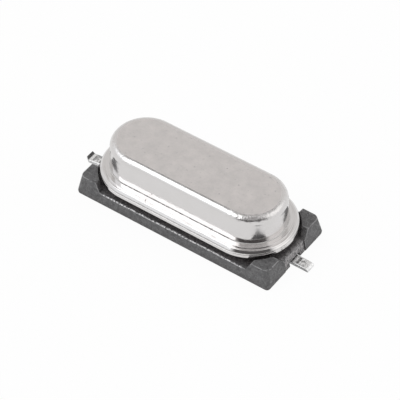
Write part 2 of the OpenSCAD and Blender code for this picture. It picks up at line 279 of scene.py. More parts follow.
def oval_stations():
    """(centre x, direction x, direction y) round the oval, anticlockwise from the right end's low side."""
    stations = []
    for sign in (1, -1):
        for i in range(OVAL_END_STEPS + 1):
            a = math.pi * (i / OVAL_END_STEPS - 0.5)
            stations.append((sign * OVAL_C, sign * math.cos(a), sign * math.sin(a)))
        for i in range(1, OVAL_SIDE_STEPS):
            stations.append((sign * OVAL_C * (1 - 2 * i / OVAL_SIDE_STEPS), 0.0, float(sign)))
    return stations


def swept(outline):
    """A closed outline of (distance from the spine, z) swept round the oval."""
    bm = bmesh.new()
    rings = [[bm.verts.new((cx + r * dx, r * dy, z)) for r, z in outline] for cx, dx, dy in oval_stations()]
    for i, ring in enumerate(rings):
        after = rings[(i + 1) % len(rings)]
        for j in range(len(outline)):
            k = (j + 1) % len(outline)
            on_spine = outline[j][0] == 0 and outline[k][0] == 0
            if not on_spine:
                bm.faces.new((ring[j], after[j], after[k], ring[k]))
    return cleaned(bm, WELD, SLIVER)


def along_x(u, v, w):
    return (w, u, v)


def along_y(u, v, w):
    return (u, w, v)


def along_z(u, v, w):
    return (u, v, w)


def prism(outline, start, end, place):
    """A closed prism; place(u, v, w) gives a point from the outline's u, v and the depth w."""
    return lofted([[place(u, v, w) for u, v in outline] for w in sorted((start, end))])


def baked(obj):
    """The mesh of obj with its modifiers applied, as a bmesh; obj is removed."""
    bpy.context.view_layer.update()
    evaluated = obj.evaluated_get(bpy.context.evaluated_depsgraph_get())
    bm = bmesh.new()
    bm.from_mesh(evaluated.to_mesh())
    evaluated.to_mesh_clear()
    bpy.data.objects.remove(obj)
    return bm


def cut(bm, cutters):
    """The bmesh less every cutter, by exact booleans."""
    body = object_of(bm, "body")
    tools = [object_of(cutter, "cutter") for cutter in cutters]
    for tool in tools:
        boolean = body.modifiers.new("cut", "BOOLEAN")
        boolean.operation = "DIFFERENCE"
        boolean.solver = "EXACT"
        boolean.object = tool
    result = baked(body)
    for tool in tools:
        bpy.data.objects.remove(tool)
    return cleaned(result, CUT_WELD, CUT_WELD)


def softened(bm, width, segments):
    """The bmesh with every sharp outward edge rounded off; the rounding has material index 1."""
    bmesh.ops.dissolve_limit(bm, angle_limit=SAME_PLANE, verts=bm.verts, edges=bm.edges)
    bmesh.ops.recalc_face_normals(bm, faces=bm.faces)
    weight = bm.edges.layers.float.new("bevel_weight_edge")
    for edge in bm.edges:
        if edge.is_manifold and edge.calc_face_angle_signed() > BEVELLED_EDGE:
            edge[weight] = 1.0
    obj = object_of(bm, "soft")
    for _ in range(2):                          # empty slots, so that the bevel's index has a slot to name
        obj.data.materials.append(None)
    bevel = obj.modifiers.new("bevel", "BEVEL")
    bevel.width = width
    bevel.segments = segments
    bevel.limit_method = "WEIGHT"
    bevel.miter_outer = "MITER_ARC"
    bevel.use_clamp_overlap = False
    bevel.material = 1
    return baked(obj)


# ---------------------------------------------------------------- can

def can_outline():
    """The can's whole section: outside from the spine down, then back up its hollow."""
    trim = RIM_SOFT_R * math.tan(math.radians(45 / 2))  # from a corner of the bevel to its rounding's start
    droop = math.degrees(math.atan(LEDGE_DROP / (STEP_R - WALL_R - FOOT_R)))
    roof = LEDGE_Z - SHEET_T
    outline = [(share * FLAT_R, CAN_TOP) for share in TOP_RINGS]
    outline += arc(FLAT_R, CAN_TOP - CAN_EDGE_R, CAN_EDGE_R, 90, 0, steps=14)
    outline += [(WALL_R - KNEE_SHARE * WALL_TAPER, LEDGE_Z + KNEE_H)]
    outline += arc(WALL_R + FOOT_R, LEDGE_Z + FOOT_R, FOOT_R, 180, 270 - droop, steps=6)
    outline += arc(STEP_R - STEP_EDGE_R, LEDGE_Z - LEDGE_DROP - STEP_EDGE_R, STEP_EDGE_R,
                   90 - droop, 0, steps=6)
    outline += [(STEP_R + STEP_LEAN, RIM_Z)]
    outline += arc(FLANGE_R - RIM_BEVEL - trim, RIM_Z - RIM_SOFT_R, RIM_SOFT_R, 90, 45, steps=4)
    outline += arc(FLANGE_R - RIM_SOFT_R, RIM_Z - RIM_BEVEL - trim, RIM_SOFT_R, 45, 0, steps=4)
    outline += arc(FLANGE_R - SEAM_R, SEAM_Z + SEAM_R, SEAM_R, 0, -90, steps=3)
    outline += [(STEP_R - SHEET_T, SEAM_Z), (STEP_R - SHEET_T, roof)]
    outline += arc(WALL_R + FOOT_R, roof + FOOT_R + SHEET_T, FOOT_R + SHEET_T, 270, 180, steps=8)
    outline += arc(FLAT_R, CAN_TOP - CAN_EDGE_R, CAN_EDGE_R - SHEET_T, 0, 90, steps=5)
    outline += [(0, CAN_TOP - SHEET_T)]
    return outline


def make_can():
    can = piece_from(swept(can_outline()), "metal_can", SHARP_METAL)
    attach(can, "root")
    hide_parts("cap")
    return can


# ---------------------------------------------------------------- header

def header_outline():
    """The header's section, from the top of its boss down to its foot."""
    foot_r = FLANGE_R - FOOT_INSET
    flange_z = SEAM_Z - HEADER_T
    outline = [(0, BOSS_TOP)]
    outline += arc(BOSS_R - HEADER_EDGE_R, BOSS_TOP - HEADER_EDGE_R, HEADER_EDGE_R, 90, 0, steps=4)
    outline += [(BOSS_R, SEAM_Z)]
    outline += arc(FLANGE_R - SEAM_R, SEAM_Z - SEAM_R, SEAM_R, 90, 0, steps=4)
    outline += arc(FLANGE_R - HEADER_EDGE_R, flange_z + HEADER_EDGE_R, HEADER_EDGE_R, 0, -90, steps=4)
    outline += [(foot_r, flange_z)]
    outline += arc(foot_r - FOOT_EDGE_R, FLOOR_Z + FOOT_EDGE_R, FOOT_EDGE_R, 0, -90, steps=5)
    outline += [(0, FLOOR_Z)]
    return outline


def make_header():
    low, high = FLOOR_Z - OVERCUT, BOSS_TOP + OVERCUT
    eyelets = [prism(disc(side * LEAD_X, EYELET_R, steps=48), low, high, along_z) for side in (-1, 1)]
    header = piece_from(cut(swept(header_outline()), eyelets), "header_base", SHARP_METAL)
    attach(header, "root")
    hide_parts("header")
    return header


# ---------------------------------------------------------------- seat

def draft_inset(z):
    """How far the seat's drafted sides stand in from the parting line at a height."""
    return abs(z - PARTING_H) * math.tan(SEAT_DRAFT)


def seat_block():
    """Block with rounded upright corners, drafted both ways from its parting line."""
    levels = []
    foot_r = SEAT_CORNER_R - draft_inset(0)
    for z, radius in ((0.0, foot_r), (PARTING_H, SEAT_CORNER_R), (SEAT_TOP, SEAT_TOP_R)):
        inset = draft_inset(z)
        corners = rounded_corners(SEAT_X - inset, SEAT_Y - inset, radius, CORNER_STEPS)
        levels.append([(x, y, z) for corner in corners for x, y in corner])
    return lofted(levels)


def leaning_gap(half, slope):
    """Outline of the gap between two corner blocks, whose ends lean back by slope."""
    top = SEAT_TOP + OVERCUT
    out = half + (top - FLOOR_Z) * math.tan(slope)
    return [(-half, FLOOR_Z), (half, FLOOR_Z), (out, top), (-out, top)]


def channel(half, top):
    """Outline of a channel in the seat's underside."""
    return [(-half, -OVERCUT), (half, -OVERCUT), (half, top), (-half, top)]


def seat_cutters():
    """What is cut from the seat's block: the gaps between its corner blocks, then both ends' cuts."""
    far = SEAT_X + OVERCUT
    top = SEAT_TOP + OVERCUT
    sill = SEAT_X - draft_inset(FLOOR_Z) - SILL_RECESS
    foot = SEAT_X - draft_inset(0) - SILL_RECESS_FOOT
    recess = [(foot, -OVERCUT), (foot, 0), (sill, FLOOR_Z), (sill, top), (far, top), (far, -OVERCUT)]
    groove = [(GROOVE_R, -OVERCUT), *arc(0, WIRE_R, GROOVE_R, 0, 180, steps=15), (-GROOVE_R, -OVERCUT)]
    cutters = [prism(leaning_gap(BLOCK_X, SLOPE_LONG), -far, far, along_y),
               prism(leaning_gap(BLOCK_Y, SLOPE_END), -far, far, along_x)]
    for side in (-1, 1):
        cutters += [
            prism(disc(side * OVAL_C, POCKET_R, steps=96), FLOOR_Z, top, along_z),
            prism([(side * x, z) for x, z in recess], -BLOCK_Y, BLOCK_Y, along_y),
            prism(disc(side * LEAD_X, HOLE_R, steps=32), -OVERCUT, FLOOR_Z + OVERCUT, along_z),
            prism(groove, side * LEAD_X, side * (PRESS_X + GROOVE_LAP), along_x),
            prism(channel(SLOT_HALF, SLOT_H), side * PRESS_X, side * (TAB_X + LEAD_GAP), along_x),
            prism(channel(NOTCH_HALF, NOTCH_H), side * TAB_X, side * far, along_x)]
    return cutters


def make_seat():
    block = cut(seat_block(), seat_cutters())
    seat = piece_from(softened(block, SEAT_BEVEL, SEAT_BEVEL_STEPS), "moulded_seat", SHARP_SEAT)
    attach(seat, "root")
    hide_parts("seat")
    return seat


# ---------------------------------------------------------------- leads

def blended(first, second, share):
    return first + (second - first) * share


def section(width, height, corner, dip):
    """A rounded rectangle as (across, up) points, clockwise; dip lowers the top inside its rim."""
    flat = width / 2 - corner
    inner = width / 2 - PRESS_RIM
    corners = rounded_corners(width / 2, height / 2, corner, steps=5)
    pressed = []
    for u, share in ((inner + PRESS_SLOPE, 0), (inner - PRESS_SLOPE, 1), (0, 1),
                     (PRESS_SLOPE - inner, 1), (-inner - PRESS_SLOPE, 0)):
        pressed.append((max(-flat, min(flat, u)), height / 2 - share * dip))
    return (corners[0] + pressed + corners[1] + corners[2] + corners[3])[::-1]


def upright(z, radius):
    """A station of the lead's upright stretch."""
    return (LEAD_X, 0, z), (1, 0, 0), (2 * radius, 2 * radius, radius, 0.0)


def lying(x, width, height, corner, dip=0.0):
    """A station of the stretch that lies on the board."""
    return (x, 0, height / 2), (0, 0, 1), (width, height, corner, dip)


def lead_stations(side):
    """(centre, up direction, section's sizes) along the right-hand lead, from its head to its tip."""
    wire = 2 * WIRE_R
    bend_z = WIRE_R + BEND_R
    under_head = HEAD_Z - HEAD_T
    stations = [upright(z, radius) for z, radius in (
        (HEAD_Z, HEAD_MIDDLE_R), (HEAD_Z, HEAD_R - HEAD_BEVEL), (HEAD_Z - HEAD_BEVEL, HEAD_R),
        (under_head + HEAD_BEVEL, HEAD_R), (under_head, HEAD_R - HEAD_BEVEL),
        (under_head, WIRE_R + HEAD_BEVEL), (under_head - HEAD_BEVEL, WIRE_R), (bend_z, WIRE_R))]
    for i in range(1, BEND_STEPS + 1):
        a = math.radians(90 * i / BEND_STEPS)
        centre = (LEAD_X + BEND_R - BEND_R * math.cos(a), 0, bend_z - BEND_R * math.sin(a))
        stations.append((centre, (math.cos(a), 0, math.sin(a)), (wire, wire, WIRE_R, 0.0)))
    for i in range(PRESS_STEPS + 1):
        share = i / PRESS_STEPS
        ease = share * share * (3 - 2 * share)
        height = blended(wire, TAB_T, ease)
        corner = min(blended(WIRE_R, TAB_EDGE_R, ease), height / 2)
        stations.append(lying(PRESS_X + PRESS_L * share, blended(wire, TAB_W, ease), height, corner))
    stations += [lying(x, TAB_W, TAB_T, TAB_EDGE_R, dip) for x, dip in (
        (SCORE_X - SCORE_HALF, 0.0), (SCORE_X - SCORE_FLOOR, SCORE_DIP),
        (SCORE_X + SCORE_FLOOR, SCORE_DIP), (SCORE_X + SCORE_HALF, 0.0),
        (FIELD_X, 0.0), (FIELD_X + FIELD_SLOPE, FIELD_DIP),
        (FIELD_END - FIELD_SLOPE, FIELD_DIP), (FIELD_END, 0.0))]
    if side < 0:
        stations += [lying(TAB_END - TURN_L, TAB_W, TAB_T, TAB_EDGE_R),
                     lying(TAB_END, TAB_W, TAB_T - TIP_DROP, TIP_EDGE_R)]
    else:
        stations += [lying(TAB_END - TIP_L, TAB_W, TAB_T, TAB_EDGE_R),
                     lying(TAB_END - NOSE_L, TAB_W, TAB_T - TIP_DROP * NOSE_SHARE, TIP_EDGE_R),
                     lying(TAB_END, TAB_W - 2 * NOSE_INSET, TAB_T - TIP_DROP - NOSE_DROP, NOSE_EDGE_R)]
    return stations


def bent(p):
    """A point of the left lead before mirroring: its tab stands askew and its cut end is turned up."""
    along = max(0.0, (p.x - TAB_X) / (TAB_END - TAB_X))
    turn = max(0.0, (p.x - TAB_END + TURN_L) / TURN_L)
    return Vector((p.x, p.y * (1 - TURN_NARROWS * turn) - TAB_SWING * along, p.z + TURN_UP * turn))


def lead_mesh(side):
    """One lead as a bmesh; side is -1 for the left and 1 for the right."""
    rings = []
    for centre, up, sizes in lead_stations(side):
        ring = [Vector(centre) + Vector((0, u, 0)) + Vector(up) * v for u, v in section(*sizes)]
        if side < 0:
            ring = [bent(p) for p in ring]
        rings.append([(side * p.x, p.y, p.z) for p in ring])
    return cleaned(lofted(rings), WELD, SLIVER)


def make_leads():
    leads = []
    for side, name in ((-1, "left"), (1, "right")):
        lead = piece_from(lead_mesh(side), f"tinned_lead_{name}", SHARP_LEAD)
        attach(lead, "root")
        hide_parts(f"lead_{name}")
        leads.append(lead)
    return leads


# ---------------------------------------------------------------- colours and finishes

NOISE_SPAN = (0.3, 0.7)                         # where most of a noise's values lie
ALONG_OVAL = 0.12                               # how slowly draw marks change along the can

# Nicks on the can: place, and radius of each
NICKS = (((-1.63, -2.0, 1.6), 0.06), ((2.06, -1.83, 1.6), 0.055), ((-0.42, -1.8, 2.57), 0.04),
         ((1.26, 0.68, 3.2), 0.05), ((2.1, 1.9, 1.6), 0.06), ((-3.4, 1.7, 2.2), 0.05),
         ((4.6, 1.2, 2.7), 0.04))
NICK_WOBBLE = 0.06
NICK_CORE = 0.6                                 # share of a nick's radius that is fully dark

POLISH_SHADE = (0.635, 0.622, 0.612, 1)
POLISH_CLEAN = (0.685, 0.668, 0.668, 1)
POLISH_STREAK = (0.56, 0.545, 0.538, 1)
POLISH_NICK = (0.17, 0.155, 0.15, 1)
DOME_Z = CAN_TOP - CAN_EDGE_R
STREAK_FADE = (LEDGE_Z + 0.02, LEDGE_Z + 0.12)  # heights between which the flange's streaks end
FOOT_FADE = (LEDGE_Z + 0.25, LEDGE_Z + 0.6)     # and the wall's brighter foot
DOME_FADE = (DOME_Z - 0.05, DOME_Z + 0.15)      # heights and distances between which the ragged edge sets in
END_FADE = (OVAL_C - 0.9, OVAL_C + 0.1)
FOOT_POLISH = 0.12                              # how much less rough the wall's foot and the flange are
DRAW_MARKS = 0.35                               # bump of the draw marks, against the slow waves
RAGGED_EDGE = 4.5                               # bump of the domed edge round the ends

SATIN_SHADE = (0.63, 0.608, 0.598, 1)
SATIN_CLEAN = (0.725, 0.692, 0.680, 1)
SATIN_SMUDGE = (0.52, 0.50, 0.50, 1)
SATIN_NICK = (0.35, 0.33, 0.33, 1)
TOP_SKIN = 0.004                                # depth of the flat top's faces below CAN_TOP

# Painted shade on the can, in the crease at the wall's foot and on the rim's outer edge
PAINTED_SHADE_DARK = (0.06, 0.058, 0.058, 1)
PAINTED_SHADE_PALE = (0.42, 0.41, 0.405, 1)
PAINTED_SHADE_NONE = (0.55, 0.54, 0.53, 1)
PAINTED_SHADE_FADE = (OVAL_C - 0.3, OVAL_C + 0.9)       # distances between which the painted shade gives out
CREASE_OUT = 0.8 * FOOT_R                       # how far the painted shade in the crease reaches from the wall, up it, and down into the ledge
CREASE_UP = 0.6 * FOOT_R                        # up it, and down into the ledge
CREASE_DOWN = 0.01
RIM_SHADE_IN = 0.3 * RIM_SOFT_R                 # how far the painted shade on the rim's edge reaches inward, and half its height
RIM_SHADE_HALF = 0.15 * RIM_SOFT_R              # and half its height

CHARCOAL = (0.074, 0.073, 0.075, 1)
CHARCOAL_PALE = (0.150, 0.149, 0.151, 1)
FILLER_SPECK = (0.27, 0.265, 0.27, 1)
PIT = (0.04, 0.038, 0.04, 1)
# Painted light and shade on the seat: paler end sills, pale edge highlights, dark corners flecked with dust,
# and a white highlight line
SILL_PAINTED_LIGHT = (0.42, 0.405, 0.41, 1)
EDGE_HIGHLIGHT = (0.29, 0.288, 0.293, 1)
CORNER_SHADE = (0.028, 0.025, 0.026, 1)
CORNER_DUST = (0.13, 0.115, 0.115, 1)
FLOOR_LINE_HIGHLIGHT = (0.90, 0.89, 0.90, 1)
SILL_X = (SEAT_X - 0.42, SEAT_X - 0.3)          # where the painted light on the end sills starts and where it ends at the blocks
SILL_Y = (BLOCK_Y - 0.06, BLOCK_Y + 0.02)       # and where they end at the blocks
FLOOR_LINE_HIGHLIGHT_Y = (SEAT_Y - 0.15, SEAT_Y - 0.125)       # where the painted highlight on the floor's long edge starts, sideways, where it ends at the blocks, and its lower and its upper limit
FLOOR_LINE_HIGHLIGHT_X = (BLOCK_X - 0.25, BLOCK_X - 0.15)      # where it ends at the blocks,
FLOOR_LINE_HIGHLIGHT_LOW = (FLOOR_Z - 0.055, FLOOR_Z - 0.035)  # and its lower and its upper limit
FLOOR_LINE_HIGHLIGHT_HIGH = (FLOOR_Z + 0.02, FLOOR_Z + 0.04)
CORNER_REACH = 0.6                              # how far a corner's shade and dust reach
CORNER_OPEN = (0.35, 0.92)                      # open sky in the darkest corner and where the shade ends
EDGE_HIGHLIGHT_FROM = 0.455                             # noise over which a rounded edge gets pale painted highlight
EDGE_HIGHLIGHT_SPAN = 0.04

PRESS_PAINT = 0.08                              # the pressings' finishes stop this far from a tab's sides
SCORE_PAINT = 0.05                              # half the width of the dull score line


# ---------------------------------------------------------------- shader nodes

def new_material(name):
    """A material, its node tree and its Principled shader."""
    material = bpy.data.materials.new(name)
    material.use_nodes = True
    tree = material.node_tree
    return material, tree, tree.nodes["Principled BSDF"]


def feed(tree, socket, value):
    """Links value to socket where it is another node's output, and sets the socket to it where it isn't."""
    if isinstance(value, bpy.types.NodeSocket):
        tree.links.new(value, socket)
    else:
        socket.default_value = value


def add_math(tree, operation, *values):
    node = tree.nodes.new("ShaderNodeMath")
    node.operation = operation
    for socket, value in zip(node.inputs, values):
        feed(tree, socket, value)
    return node.outputs["Value"]


def add_vector_math(tree, operation, *values):
    node = tree.nodes.new("ShaderNodeVectorMath")
    node.operation = operation
    for socket, value in zip(node.inputs, values):
        feed(tree, socket, value)
    gives_number = operation in ("DISTANCE", "DOT_PRODUCT", "LENGTH")
    return node.outputs["Value" if gives_number else "Vector"]


def times(tree, first, second):
    return add_math(tree, "MULTIPLY", first, second)


def split(tree, vector):
    """The outputs X, Y and Z of a vector."""
    node = tree.nodes.new("ShaderNodeSeparateXYZ")
    feed(tree, node.inputs["Vector"], vector)
    return node.outputs


def combined(tree, x, y, z):
    node = tree.nodes.new("ShaderNodeCombineXYZ")
    for axis, value in (("X", x), ("Y", y), ("Z", z)):
        feed(tree, node.inputs[axis], value)
    return node.outputs["Vector"]


def ramp(tree, value, low, high, out_low=0.0, out_high=1.0, interpolation="LINEAR"):
    """value's range from low to high, spread over out_low to out_high and held beyond it."""
    node = tree.nodes.new("ShaderNodeMapRange")
    node.interpolation_type = interpolation
    for name, level in (("Value", value), ("From Min", low), ("From Max", high),
                        ("To Min", out_low), ("To Max", out_high)):
        feed(tree, node.inputs[name], level)
    return node.outputs["Result"]


def step_up(tree, value, low, high):
    """0 below low, 1 above high, and smooth between."""
    return ramp(tree, value, low, high, interpolation="SMOOTHSTEP")


def step_down(tree, value, low, high):
    """1 below low, 0 above high, and smooth between."""
    return ramp(tree, value, low, high, 1.0, 0.0, interpolation="SMOOTHSTEP")


def mix_colours(tree, share, first, second):
    """first where share is 0 and second where it is 1."""
    node = tree.nodes.new("ShaderNodeMix")
    node.data_type = "RGBA"
    for name, value in (("Factor", share), ("A", first), ("B", second)):
        feed(tree, node.inputs[name], value)
    return node.outputs["Result"]


def coords_mm(tree):
    """Object coordinates in millimetres."""
    source = tree.nodes.new("ShaderNodeTexCoord")
    return add_vector_math(tree, "MULTIPLY", source.outputs["Object"], (1 / MM, 1 / MM, 1 / MM))


def off_middle(tree, where, axis):
    """Distance from the part's middle plane along an axis; for Z, the height."""
    return add_math(tree, "ABSOLUTE", split(tree, where)[axis])


def round_the_oval(tree, where):
    """Coordinates that change quickly across the can's section and slowly round the oval."""
    axes = split(tree, where)
    past_centre = add_math(tree, "SUBTRACT", off_middle(tree, where, "X"), OVAL_C)
    past_centre = add_math(tree, "MAXIMUM", past_centre, 0.0)
    from_spine = add_vector_math(tree, "LENGTH", combined(tree, past_centre, axes["Y"], 0.0))
    return combined(tree, from_spine, axes["Z"], times(tree, axes["X"], ALONG_OVAL))


def add_noise(tree, where, scale, detail=4.0, rough=0.55):
    """Noise round 0.5; scale is in features a millimetre."""
    node = tree.nodes.new("ShaderNodeTexNoise")
    for name, value in (("Vector", where), ("Scale", scale), ("Detail", detail), ("Roughness", rough)):
        feed(tree, node.inputs[name], value)
    return node.outputs["Fac"]


def wandering(tree, where, scale, low, high):
    """A value that drifts between low and high."""
    return ramp(tree, add_noise(tree, where, scale), *NOISE_SPAN, low, high)


def blotched(tree, colour, blotch, noise, low, high, within=None):
    """colour, with blotch where noise is over low to high; only inside the mask within, if there is one."""
    share = step_up(tree, noise, low, high)
    if within is not None:
        share = times(tree, share, within)
    return mix_colours(tree, share, colour, blotch)


def finish(tree, shader, colour, roughness, height, depth, metallic=1.0):
    """Wires a Principled shader; height is the bump's field, and depth its scale in millimetres."""
    bump = tree.nodes.new("ShaderNodeBump")
    bump.inputs["Distance"].default_value = depth * MM
    feed(tree, bump.inputs["Height"], height)
    for name, value in (("Base Color", colour), ("Roughness", roughness), ("Metallic", metallic),
                        ("Normal", bump.outputs["Normal"])):
        feed(tree, shader.inputs[name], value)


# ---------------------------------------------------------------- materials

def nicks(tree, where):
    """1 in the few small nicks on the can and 0 elsewhere."""
    wobble = add_noise(tree, where, 9.0, detail=2.0)
    ragged = add_vector_math(tree, "MULTIPLY_ADD", wobble, (NICK_WOBBLE, NICK_WOBBLE, NICK_WOBBLE), where)
    total = 0.0
    for place, radius in NICKS:
        gap = add_vector_math(tree, "DISTANCE", ragged, place)
        total = add_math(tree, "MAXIMUM", total, step_down(tree, gap, NICK_CORE * radius, radius))
    return total


def polished_nickel():
    """Bright drawn nickel: draw marks, streaks on the flange, dark nicks, and ragged edges round the ends."""
    material, tree, shader = new_material("polished_nickel")
    where = coords_mm(tree)
    drawn = round_the_oval(tree, where)
    height = off_middle(tree, where, "Z")
    colour = mix_colours(tree, add_noise(tree, where, 1.3), POLISH_SHADE, POLISH_CLEAN)
    colour = mix_colours(tree, nicks(tree, where), colour, POLISH_NICK)
    streaks = add_noise(tree, drawn, 16.0, detail=2.0, rough=0.5)
    flange = step_down(tree, height, *STREAK_FADE)
    colour = blotched(tree, colour, POLISH_STREAK, streaks, 0.55, 0.70, within=flange)
    foot = step_down(tree, height, *FOOT_FADE)
    roughness = add_math(tree, "MULTIPLY_ADD", foot, -FOOT_POLISH, wandering(tree, where, 6.0, 0.16, 0.24))
    marks = add_noise(tree, drawn, 9.0, rough=0.6)
    bump = add_math(tree, "MULTIPLY_ADD", marks, DRAW_MARKS, add_noise(tree, where, 2.2, detail=2.0))
    round_end = step_up(tree, off_middle(tree, where, "X"), *END_FADE)
    end_edge = times(tree, step_up(tree, height, *DOME_FADE), round_end)
    ragged = times(tree, end_edge, add_noise(tree, where, 6.0, detail=3.0, rough=0.6))
    bump = add_math(tree, "MULTIPLY_ADD", ragged, RAGGED_EDGE, bump)
    finish(tree, shader, colour, roughness, bump, depth=0.006)
    return material


def satin_nickel():
    """The flat top: mottled satin with faint smudges and shallow nicks."""
    material, tree, shader = new_material("satin_nickel")
    where = coords_mm(tree)
    mottle = ramp(tree, add_noise(tree, where, 1.8, detail=6.0, rough=0.75), 0.35, 0.65)
    colour = mix_colours(tree, mottle, SATIN_SHADE, SATIN_CLEAN)
    smudges = add_noise(tree, where, 5.0, detail=3.0, rough=0.6)
    colour = blotched(tree, colour, SATIN_SMUDGE, smudges, 0.62, 0.72)
    colour = mix_colours(tree, nicks(tree, where), colour, SATIN_NICK)
    roughness = wandering(tree, where, 8.0, 0.36, 0.46)
    finish(tree, shader, colour, roughness, add_noise(tree, where, 30.0), depth=0.002)
    return material


def painted_shade_nickel():
    """Nickel painted dull and dark as shade in the crease and on the rim's edge, with less of that painted
    shade round the ends.
    """
    material, tree, shader = new_material("painted_shade_nickel")
    where = coords_mm(tree)
    shade_breaks = add_noise(tree, where, 3.5, detail=5.0, rough=0.75)
    # Painted shade: dark, broken by paler patches, and fading out round the ends
    colour = blotched(tree, PAINTED_SHADE_DARK, PAINTED_SHADE_PALE, shade_breaks, 0.46, 0.60)
    round_end = step_up(tree, off_middle(tree, where, "X"), *PAINTED_SHADE_FADE)
    colour = mix_colours(tree, round_end, colour, PAINTED_SHADE_NONE)
    roughness = wandering(tree, where, 20.0, 0.3, 0.45)
    finish(tree, shader, colour, roughness, add_noise(tree, where, 25.0), depth=0.003, metallic=0.6)
    return material


def moulded_plastic(name, edge_highlight):
    """Glass-filled thermoplastic: mottled charcoal, with painted light on the end sills, painted shade
    flecked with dust in the corners and a broken line of painted highlight on the floor's edge; if asked,
    painted edge highlights too."""
    material, tree, shader = new_material(name)
    where = coords_mm(tree)
    x, y, z = (off_middle(tree, where, axis) for axis in "XYZ")
    cloud = ramp(tree, add_noise(tree, where, 4.5, rough=0.7), 0.36, 0.64)
    colour = mix_colours(tree, cloud, CHARCOAL, CHARCOAL_PALE)
    specks = add_noise(tree, where, 13.0, detail=3.0, rough=0.6)
    colour = blotched(tree, colour, FILLER_SPECK, specks, 0.58, 0.72)
    pits = add_noise(tree, where, 10.0, detail=3.0, rough=0.6)
    colour = blotched(tree, colour, PIT, pits, 0.58, 0.70)

    # Painted light: the end sills are paler, in broken patches
    end_sill = times(tree, step_up(tree, x, *SILL_X), step_down(tree, y, *SILL_Y))
    sill_patches = add_noise(tree, where, 7.0, rough=0.7)
    colour = blotched(tree, colour, SILL_PAINTED_LIGHT, sill_patches, 0.40, 0.56, within=end_sill)
    # Painted highlight: pale patches on the rounded edges
    if edge_highlight:
        patches = add_noise(tree, where, 3.0, detail=5.0, rough=0.7)
        colour = blotched(tree, colour, EDGE_HIGHLIGHT, patches, EDGE_HIGHLIGHT_FROM, EDGE_HIGHLIGHT_FROM + EDGE_HIGHLIGHT_SPAN)

    # Painted shade: ambient occlusion darkens corners and recesses, with flecks of dust in the shade
    corner = tree.nodes.new("ShaderNodeAmbientOcclusion")
    corner.samples = 8
    corner.inputs["Distance"].default_value = CORNER_REACH * MM
    fine = add_noise(tree, where, 11.0, rough=0.7)
    shade_and_dust = blotched(tree, CORNER_SHADE, CORNER_DUST, fine, 0.47, 0.62)
    shade = ramp(tree, corner.outputs["AO"], *CORNER_OPEN, 1.0, 0.0)
    colour = mix_colours(tree, shade, colour, shade_and_dust)

    # Painted highlight: a broken near-white line along the floor's long top edge
    long_edge = times(tree, step_up(tree, y, *FLOOR_LINE_HIGHLIGHT_Y), step_down(tree, x, *FLOOR_LINE_HIGHLIGHT_X))
    at_floor = times(tree, step_up(tree, z, *FLOOR_LINE_HIGHLIGHT_LOW), step_down(tree, z, *FLOOR_LINE_HIGHLIGHT_HIGH))
    colour = blotched(tree, colour, FLOOR_LINE_HIGHLIGHT, fine, 0.45, 0.55, within=times(tree, long_edge, at_floor))
    roughness = wandering(tree, where, 12.0, 0.42, 0.62)
    grain = add_noise(tree, where, 9.0, detail=6.0, rough=0.65)
    finish(tree, shader, colour, roughness, grain, depth=0.03, metallic=0.0)
    return material


def tin(name, low, high):
    """Tin plate with a hammered skin, between two greys."""
    material, tree, shader = new_material(name)
    where = coords_mm(tree)
    mottle = add_noise(tree, where, 7.0, detail=3.0, rough=0.6)
    colour = blotched(tree, (low, low, low, 1), (high, high, high, 1), mottle, 0.38, 0.62)
    roughness = wandering(tree, where, 20.0, 0.18, 0.34)
    finish(tree, shader, colour, roughness, add_noise(tree, where, 12.0, detail=3.0), depth=0.012)
    return material


def lead_tins():
    """The finishes of a lead, in the order of its slots."""
    return (tin("bright_tin", 0.72, 0.86), tin("painted_shade_tin", 0.16, 0.34), tin("coined_tin", 0.30, 0.92),
            tin("tip_dark_reflection", 0.22, 0.40), tin("left_side_shade_tin", 0.45, 0.62))


def hidden_material(name, low, high, roughness, metallic=0.0, transmission=0.0):
    """A mottled finish for what the sealed can hides."""
    material, tree, shader = new_material(name)
    where = coords_mm(tree)
    shader.inputs["Transmission Weight"].default_value = transmission
    colour = mix_colours(tree, add_noise(tree, where, 4.0), low, high)
    roughness = wandering(tree, where, 15.0, roughness, roughness + 0.12)
    finish(tree, shader, colour, roughness, add_noise(tree, where, 25.0), depth=0.003, metallic=metallic)
    return material


# ---------------------------------------------------------------- painting

# The can's slots: polished, satin, and the painted shade in its crease and on its rim's edge
POLISHED, SATIN, PAINTED_SHADE = range(3)
# The leads' slots: bright tin, tin painted dark as shade, coined tin, the turned-up tip painted dark as a
# reflection, and the left tab's sides painted as shade
BRIGHT, TIN_SHADE, COINED, TIP_DARK_REFLECTION, LEFT_SIDE_SHADE = range(5)


def paint(obj, *materials):
    """Gives obj these materials; each face keeps its index, up to the last of them."""
    indices = [face.material_index for face in obj.data.polygons]
    obj.data.materials.clear()
    for material in materials:
        obj.data.materials.append(material)
    for face, index in zip(obj.data.polygons, indices):
        face.material_index = min(index, len(materials) - 1)


def in_painted_shade(p):
    """Whether a point in millimetres gets painted shade: in the crease at the wall's foot or on the rim's
    outer edge.
    """
    r = math.hypot(max(abs(p.x) - OVAL_C, 0.0), p.y)
    crease = WALL_R < r < WALL_R + CREASE_OUT and LEDGE_Z - CREASE_DOWN < p.z < LEDGE_Z + CREASE_UP
    rim_edge = r > FLANGE_R - RIM_SHADE_IN and abs(p.z - (RIM_Z - RIM_BEVEL)) < RIM_SHADE_HALF
    return crease or rim_edge


def can_finish(centre, normal):
    """Which finish a face of the can has, from its middle in millimetres."""
    if centre.z > CAN_TOP - TOP_SKIN and normal.z > 0.9:
        return SATIN
    # Faces in the crease and on the rim's edge get the painted shade
    return PAINTED_SHADE if in_painted_shade(centre) else POLISHED


